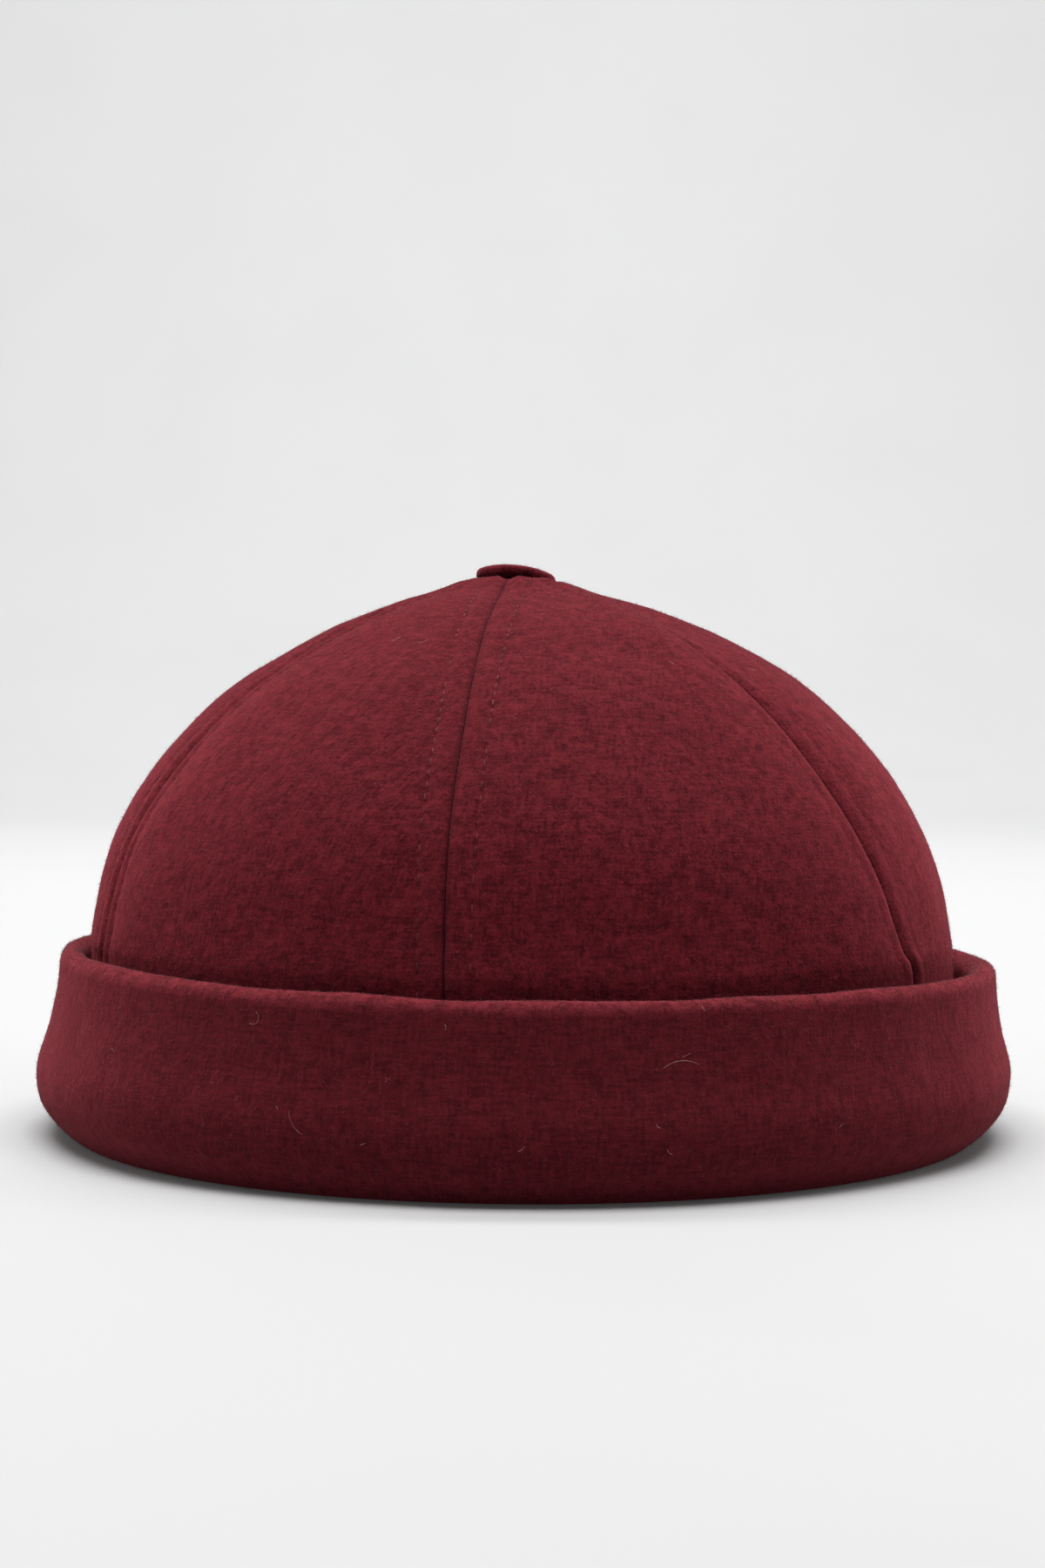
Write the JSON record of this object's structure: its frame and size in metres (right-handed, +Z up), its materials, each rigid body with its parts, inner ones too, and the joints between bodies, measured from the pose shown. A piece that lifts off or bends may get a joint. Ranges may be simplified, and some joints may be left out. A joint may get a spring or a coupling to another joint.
{
  "type": "brimless docker cap",
  "caption": "Round brimless cap of wool felt: sewn crown panels, a turned-up cuff and a covered button on the apex.",
  "frame": {"origin": "on the surface that the cap rests on, below the middle of its box", "axes": "+Z up out of the crown, -Y the front that the picture shows, +X to the right in that view"},
  "size_m": [0.2103, 0.2144, 0.1225],
  "materials": {
    "wool_felt": "fulled burgundy wool felt with a short nap"
  },
  "bodies": {
    "root": {"crown_panel_1": "wool_felt", "crown_panel_2": "wool_felt", "crown_panel_3": "wool_felt", "crown_panel_4": "wool_felt", "crown_panel_5": "wool_felt", "crown_panel_6": "wool_felt", "cuff": "wool_felt", "crown_button": "wool_felt"}
  },
  "joints": []
}
